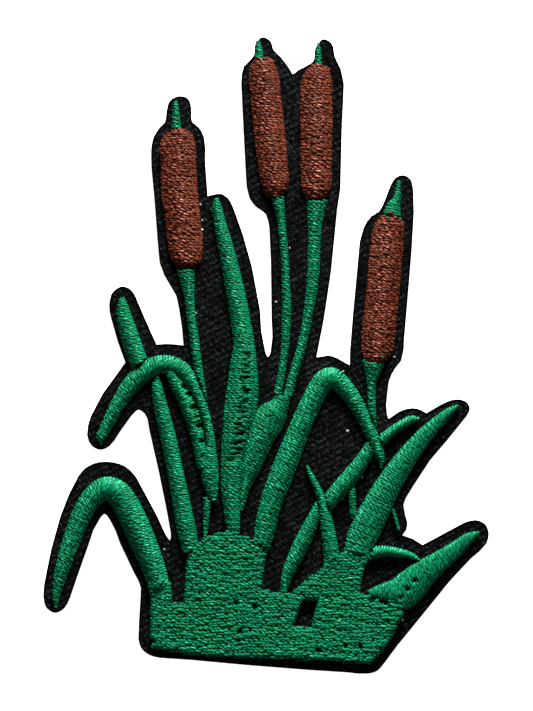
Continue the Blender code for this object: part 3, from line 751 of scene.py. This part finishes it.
# The ground is a flat fill: long level rows that wander a little, with needle holes in staggered order
mound = {
    "rowMm": 0.42, "stitchMm": 3.2, "plyTurnMm": 1.5, "dipMm": 0.2, "dipRunMm": 0.3, "swayMm": 0.02,
    "liftMm": 0.02,
    "wanderUnits": 1.6,     # how far a row strays from level, in steps of the grid
    "waves": [(31, 23, 1), (17, -29, 0.6), (9, 13, 0.35)],  # lengths across and down, and share
    "rowWanderUnits": 0.45,  # how far it strays from its neighbours
    "rowWaves": [(8, 1), (3.1, 0.7), (15, 0.5)],  # length and share
    "wavesReach": (1.6, 1.3),  # what the two sums of waves come to
    "stagger": 0.37, "firstHole": 0.1,  # of a stitch, from row to row and from a row's end
    "holeJitter": 0.15, "leastStitchMm": 0.3,
    "sampleMm": 0.1, "leastPoints": 5,
    "gapsPerMm": 0.3, "seamAt": None,
    "holes": openings((318, 650, 8, 0.8), (345, 645, 6, 0.7), (360, 645, 6, 0.7), (240, 631, 7, 0.8),
                      (371.5, 600, 7, 0.8), (236, 603, 7, 0.7), (255, 606, 8, 0.7), (153, 641, 7, 0.7),
                      (238, 640, 6, 0.7)),
    # corners where the fill runs on to the leaves, beyond its own solid
    "corners": [[(386, 592), (400, 600), (411, 606), (411, 610), (404, 624), (396, 620), (388, 604)],
                [(146, 582), (152, 576), (160, 578), (168, 592), (150, 598), (149.5, 590)],
                [(345, 552), (349, 547), (362, 548), (369, 551), (371, 560), (345, 560)]],
    "edgeRoundMm": 0.7,
    "joinMm": 0.9,          # an edge this close to a column is covered by it
    "tuckMm": 0.3,
    "padInsetMm": 0.15, "padDropMm": 0.38,
}


def stitchMound():
    radius = thread["radiusMm"] * mm
    edges = footprint("ground_mound")
    centres = edges.mean(1)
    joined = np.zeros(len(edges), bool)
    for piece in stalks + leaves:
        inside, depth = insideAndDepth(centres, footprint(piece["node"]))
        joined |= inside | (depth < mound["joinMm"] * mm)
    corners = []
    for corner in mound["corners"]:
        ring = onPatch(corner)
        corners.append(np.stack([ring, np.roll(ring, -1, 0)], 1))
        joined |= insideAndDepth(centres, corners[-1])[0]
    free = edges[~joined]
    low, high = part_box("ground_mound")
    rise = high.z - twillTop - radius
    sample = mound["sampleMm"] * mm
    xs = np.arange(low.x - sample, high.x + sample, sample)
    rowStep = mound["rowMm"] * mm
    rows = int((high.y - low.y) / rowStep) + 2
    bundle = newBundle()
    downPatch = np.array([0.0, -1.0, 0.0])
    waves = rng.uniform(0, 2 * math.pi, 6)
    for k in range(rows):
        y = high.y - k * rowStep
        u, v = xs / unit, y / unit
        wander = sum(share * np.sin(u / wide + v / tall + wave)
                     for (wide, tall, share), wave in zip(mound["waves"], waves))
        own = rng.uniform(0, 2 * math.pi, len(mound["rowWaves"]))
        stray = sum(share * np.sin(u / wide + wave) for (wide, share), wave in zip(mound["rowWaves"], own))
        most, rowMost = mound["wavesReach"]
        ys = y + unit * (mound["wanderUnits"] * wander / most + mound["rowWanderUnits"] * stray / rowMost)
        inside, depth = insideAndDepth(np.stack([xs, ys], -1), edges)
        away = insideAndDepth(np.stack([xs, ys], -1), free)[1]
        lift = np.sqrt(1 - (1 - np.clip(away / (mound["edgeRoundMm"] * mm), 0, 1)) ** 2)
        inside |= (depth < mound["tuckMm"] * mm) & (away > mound["joinMm"] * mm)
        for corner in corners:
            inside |= insideAndDepth(np.stack([xs, ys], -1), corner)[0]
        for first, last in runsOf(inside):
            if last - first < mound["leastPoints"]:
                continue
            row = np.stack([xs, ys, twillTop + rise * lift], -1)[first:last + 1]
            reach = lengthsAlong(row)
            step = mound["stitchMm"] * mm
            least = mound["leastStitchMm"] * mm
            holes = []
            at = step * ((k * mound["stagger"]) % 1 * (1 - mound["firstHole"]) + mound["firstHole"])
            while at < reach[-1] - 2 * least:
                holes.append(at + rng.uniform(-mound["holeJitter"], mound["holeJitter"]) * step)
                at += step
            holes = [hole for hole in holes if least < hole < reach[-1] - least]
            holes = [0.0, *holes, reach[-1]]
            for a, b in zip(holes, holes[1:]):
                layStitch(bundle, row, reach, a, b, downPatch, needleDips(mound), mound)
    made = makePiece("ground_mound_fill", bundle, greenThread, padding("ground_mound", mound), greenUnderlayPaintedShade)
    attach(made, "root")
    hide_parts("ground_mound")


stitchMound()
print("mound stitched")

# Single stitches and loose fibres that lie over the rest: each runs between two places on the grid
strays = {
    "brown": [((175.5, 133), (182, 128.5)), ((178.5, 134.5), (185, 130)), ((188.4, 131.5), (189.6, 136)),
              ((170, 134.5), (177, 133.5)), ((253.5, 61.5), (261, 59)), ((262, 60), (269, 58)),
              ((268, 58.5), (275, 62.5)), ((311, 66.5), (316, 67.5)), ((324, 66.5), (331, 70)),
              ((379, 217.5), (385, 215.5)), ((391, 215.5), (398, 219.5)), ((386, 214.5), (393, 214))],
    "green": [((385.5, 217.5), (388.5, 220.5)), ((399.5, 219), (401.5, 221)),
              ((381.5, 357), (383.5, 358.5)), ((255, 58.5), (261, 56.5)),
              ((266, 410), (273, 415)), ((263, 411), (270, 416)), ((269, 408), (274, 412)),
              ((160, 579), (152, 588)), ((165, 577), (155, 590)), ((168, 580), (159, 591))],
    "lint": [((200.5, 203), (201.5, 205.5)), ((201.5, 219.5), (203.5, 220.5)),
             ((201, 230.5), (203.5, 229.5)), ((195.5, 312.5), (197, 313.5)), ((289.5, 247), (290.5, 249)),
             ((275, 302.5), (277, 301.5)), ((342, 371.5), (344, 372.5)), ((393, 357.5), (395.5, 356.5)),
             ((361.5, 476), (362.5, 478.5)), ((342.5, 497.5), (344, 498.5)), ((163, 549.5), (165, 550.5)),
             ((346, 430.5), (349, 431.5)), ((347, 432.5), (348.5, 429.5)),
             ((346.3, 429.8), (348.8, 432.4)), ((346, 432), (349, 430))],
    "radius": {"brown": 0.65, "green": 0.55, "lint": 0.5},  # against a whole thread's
    "stepMm": 0.1, "sinkMm": 0.03, "bowMm": 0.08, "endDropMm": 0.15, "plyTurnMm": 1.5,
}


def lieOver(name, material, kind):
    bpy.context.view_layer.update()
    view = bpy.context.evaluated_depsgraph_get()
    above = 10 * mm
    radius = strays["radius"][kind]
    bundle = newBundle()
    for start, end in strays[kind]:
        a, b = onPatch([start, end])
        count = max(thread["leastRings"], int(np.linalg.norm(b - a) / (strays["stepMm"] * mm)))
        t = np.linspace(0, 1, count)
        side = np.array([b[1] - a[1], a[0] - b[0], 0.0]) / np.linalg.norm(b - a)
        bow = rng.normal(0, strays["bowMm"] * mm) * np.sin(math.pi * t)
        flat = a + t[:, None] * (b - a) + bow[:, None] * side[:2]
        heights = []
        for x, y in flat:
            heights.append(bpy.context.scene.ray_cast(view, (x, y, above), (0, 0, -1))[1].z)
        # a pulled thread spans the dips below it
        heights = np.maximum(heights, np.interp(t, [0, 1], [heights[0], heights[-1]]))
        lift = radius * thread["radiusMm"] * mm - strays["sinkMm"] * mm
        drop = strays["endDropMm"] * mm * (2 * t - 1) ** 8
        path = np.concatenate([flat, (heights + lift - drop)[:, None]], 1)
        layThread(bundle, path, side, 1.0, strays["plyTurnMm"], radius)
    made = makePiece(name, bundle, material)
    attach(made, "root")


lieOver("stray_brown_stitches", brownThread, "brown")
lieOver("stray_green_stitches", greenThread, "green")
print("stray stitches laid")

# The ground cloth: wales run down to the right, each a row of short floats, measured on the grid
weave = {
    "waleUnits": 3.35,       # from one wale to the next
    "floatUnits": 5.98,      # from one float to the next along a wale
    "stepUnits": 0.3,        # how far the floats shift from wale to wale
    "waleAngle": -57,        # degrees from level
    "heightMm": 0.1,
    "betweenFloats": 0.35,   # height where two floats of a wale meet, against their middles
    "round": (0.8, 0.7),     # the wales' and the floats' curves, less than 1 for fuller ones
    "roughMm": 0.012,
    "trimMm": 0.15,          # how far inside the cut the weave ends, under the fused edge
    "across": 3, "along": 4,  # mesh steps for one float
}


def weaveTwill():
    edges = footprint("black_twill")
    loop = chained(edges)
    area = 0.5 * abs(np.dot(loop[:, 0], np.roll(loop[:, 1], 1)) - np.dot(loop[:, 1], np.roll(loop[:, 0], 1)))
    turn = math.radians(weave["waleAngle"])
    along = np.array([math.cos(turn), math.sin(turn)])
    across = np.array([-along[1], along[0]])
    wale, pitch, shift = (weave[key] * unit for key in ("waleUnits", "floatUnits", "stepUnits"))
    du, dv = pitch / weave["along"], wale / weave["across"]
    reach = np.hypot(*loop.T).max()
    far = math.ceil(reach / pitch) * weave["along"], math.ceil(reach / wale) * weave["across"]
    us, vs = np.arange(-far[0], far[0] + 1) * du, np.arange(-far[1], far[1] + 1) * dv
    u, v = np.meshgrid(us, vs, indexing="ij")
    flat = u[..., None] * along + v[..., None] * across
    near = (np.abs(flat[..., 0]) < twillHigh.x) & (flat[..., 1] < twillHigh.y) & (flat[..., 1] > twillLow.y)
    inside = np.zeros(u.shape, bool)
    depth = np.zeros(u.shape)
    inside[near], depth[near] = insideAndDepth(flat[near], edges)
    body = inside & (depth > weave["trimMm"] * mm)
    ridge = np.abs(np.cos(math.pi * v / wale))
    lap = 0.5 + 0.5 * np.cos(2 * math.pi * (u - shift * np.round(v / wale)) / pitch)
    low, (waleCurve, floatCurve) = weave["betweenFloats"], weave["round"]
    height = weave["heightMm"] * mm * (ridge ** waleCurve * (low + (1 - low) * lap ** floatCurve) - 1)
    height += rng.normal(0, weave["roughMm"] * mm, u.shape)
    waleNumber = np.round(v / wale).astype(int)
    floatNumber = np.round((u - shift * waleNumber) / pitch).astype(int)
    waleNumber -= waleNumber.min()
    floatNumber -= floatNumber.min()
    luck = rng.uniform(0, 1, (waleNumber.max() + 1, floatNumber.max() + 1))
    # painted sheen on the float tops: a few whole floats are fluffed, and single fibre ends stand up
    # everywhere
    fluffAndPaintedSheen = (ridge * lap) ** 3 * luck[waleNumber, floatNumber] ** 2
    fluffAndPaintedSheen += (0.3 + 0.7 * ridge * lap) * rng.uniform(0, 1, u.shape) ** 6
    index = np.arange(u.size).reshape(u.shape)
    whole = body[:-1, :-1] & body[1:, :-1] & body[1:, 1:] & body[:-1, 1:]
    i, j = np.nonzero(whole)
    quads = np.stack([index[i, j], index[i + 1, j], index[i + 1, j + 1], index[i, j + 1]], -1)
    used = np.unique(quads)
    remap = np.zeros(u.size, int)
    remap[used] = np.arange(len(used))
    points = np.concatenate([flat.reshape(-1, 2), (twillTop + height).reshape(-1, 1)], 1)[used]
    mesh = bpy.data.meshes.new("black_twill_ground")
    mesh.from_pydata(points.tolist(), [], remap[quads].tolist())
    tops = mesh.attributes.new("floatFluffAndPaintedSheen", "FLOAT", "POINT")
    tops.data.foreach_set("value", fluffAndPaintedSheen.reshape(-1)[used].astype(np.float32))
    mesh.materials.append(blackTwill)
    mesh.shade_smooth()
    made = newObject("black_twill_ground", mesh)
    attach(made, "root")
    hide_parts("black_twill")
    return made, loop, area


twill, cutLoop, cutArea = weaveTwill()
print("twill woven:", len(twill.data.polygons), "faces")

# The cut edge: the hot knife leaves the yarn ends fused in a thin dull bead
cutEdge = {
    "widthMm": 0.34, "overMm": 0.03,  # how far it stands out past the cloth
    "squareness": 0.6,     # 1 for an oval section, less for one with flatter sides
    "lumpShare": 0.02,
    "stepMm": 0.5, "leastStepMm": 0.12, "sides": 8,
}


def squared(wave):
    return np.sign(wave) * np.abs(wave) ** cutEdge["squareness"]


def fusedEdge(loop):
    closed = np.concatenate([loop, loop[:1]])
    reach = lengthsAlong(closed)
    count = int(reach[-1] / (cutEdge["stepMm"] * mm))
    at = np.arange(count) * reach[-1] / count
    at = np.unique(np.concatenate([at, reach[:-1]]))
    at = at[np.concatenate([[True], np.diff(at) > cutEdge["leastStepMm"] * mm])]
    line = pointsAt(at, reach, closed)
    along = np.roll(line, -1, 0) - np.roll(line, 1, 0)
    along /= np.linalg.norm(along, axis=1)[:, None]
    outward = np.stack([along[:, 1], -along[:, 0]], -1)
    turning = np.dot(loop[:, 0], np.roll(loop[:, 1], -1)) - np.dot(loop[:, 1], np.roll(loop[:, 0], -1))
    outward *= math.copysign(1, turning)
    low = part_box("heat_seal_film")[1].z
    over = cutEdge["overMm"] * mm
    middle, tall = (twillTop + low) / 2, (twillTop - low) / 2 + over
    wide = cutEdge["widthMm"] * mm / 2 * (1 + rng.normal(0, cutEdge["lumpShare"], len(line)))
    angles = np.arange(cutEdge["sides"]) * 2 * math.pi / cutEdge["sides"]
    inset = line - outward * (cutEdge["widthMm"] * mm / 2 - over)
    points = np.zeros((len(line), len(angles), 3))
    bulge = squared(np.cos(angles))
    points[..., :2] = inset[:, None, :] + (wide[:, None] * bulge)[..., None] * outward[:, None, :]
    points[..., 2] = middle + tall * squared(np.sin(angles))
    rings, sides = len(line), len(angles)
    i, j = np.meshgrid(np.arange(rings), np.arange(sides), indexing="ij")
    n, m = (i + 1) % rings, (j + 1) % sides
    faces = np.stack([i * sides + j, i * sides + m, n * sides + m, n * sides + j], -1).reshape(-1, 4)
    mesh = bpy.data.meshes.new("twill_cut_edge")
    mesh.from_pydata(points.reshape(-1, 3).tolist(), [], faces.tolist())
    bm = bmesh.new()
    bm.from_mesh(mesh)
    bmesh.ops.recalc_face_normals(bm, faces=bm.faces)
    bm.to_mesh(mesh)
    bm.free()
    mesh.materials.append(blackTwill)
    mesh.shade_smooth()
    made = newObject("twill_cut_edge", mesh)
    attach(made, "root")
    return made


edgeBead = fusedEdge(cutLoop)
lieOver("lint_fibres", paleLint, "lint")
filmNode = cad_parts["heat_seal_film"]
filmNode.data.materials.clear()
filmNode.data.materials.append(milkyFilm)
print("edge and film done")

# Camera straight above, framing what the picture frames
picture = {"size": (533, 711), "lensMm": 100, "sensorMm": 36}


def standCamera():
    data = bpy.data.cameras.new("above")
    data.type = "PERSP"
    data.lens = picture["lensMm"]
    data.sensor_width = picture["sensorMm"]
    camera = newObject("above", data)
    x, y = onPatch([picture["size"][0] / 2, picture["size"][1] / 2])
    away = picture["size"][1] * unit * picture["lensMm"] / picture["sensorMm"]
    camera.location = (x, y, twillTop + away)
    data.clip_start, data.clip_end = away * 0.1, away * 10
    bpy.context.scene.camera = camera


standCamera()

# Studio: one near soft lamp beyond the top of the patch, a plain card and an even sky of light
studio = {"key": {"place": (0.03, 0.287, 0.086), "size": 0.1, "strength": 55.0},
          "sky": 0.2, "card": "#f7f7f7", "glow": 1.1, "cardHalf": 2.0}


def lightStudio():
    data = bpy.data.lights.new("key", "AREA")
    data.shape = "DISK"
    data.size = studio["key"]["size"]
    # so close a lamp would leave the patch's foot dim, so its light is made not to weaken on the way
    data.energy = 1.0
    data.use_nodes = True
    beam = data.node_tree.nodes["Emission"]
    steady = addNode(data.node_tree, "ShaderNodeLightFalloff", {"Strength": studio["key"]["strength"]})
    data.node_tree.links.new(steady.outputs["Constant"], beam.inputs["Strength"])
    lamp = newObject("key", data)
    lamp.location = studio["key"]["place"]
    lamp.rotation_euler = lamp.location.to_track_quat("Z", "Y").to_euler()
    lamp.visible_camera = False  # it hangs between the camera and the patch
    world = bpy.data.worlds.new("sky")
    bpy.context.scene.world = world
    world.use_nodes = True
    sky = world.node_tree.nodes["Background"]
    sky.inputs["Color"].default_value = (1, 1, 1, 1)
    sky.inputs["Strength"].default_value = studio["sky"]
    made, tree, output = newMaterial("matt white card")
    surface = addNode(tree, "ShaderNodeBsdfPrincipled",
                      {"Base Color": linear(studio["card"]), "Roughness": 0.9,
                       "Emission Color": linear(studio["card"]), "Emission Strength": studio["glow"]})
    tree.links.new(surface.outputs[0], output.inputs["Surface"])
    bm = bmesh.new()
    bmesh.ops.create_grid(bm, x_segments=1, y_segments=1, size=studio["cardHalf"])
    mesh = bpy.data.meshes.new("card")
    bm.to_mesh(mesh)
    bm.free()
    mesh.materials.append(made)
    card = newObject("card", mesh)
    card.visible_diffuse = False  # the picture's patch is cut out: no light comes up off the card
    card.visible_glossy = False
    bpy.context.scene.view_settings.view_transform = "Standard"


lightStudio()
print("studio lit")
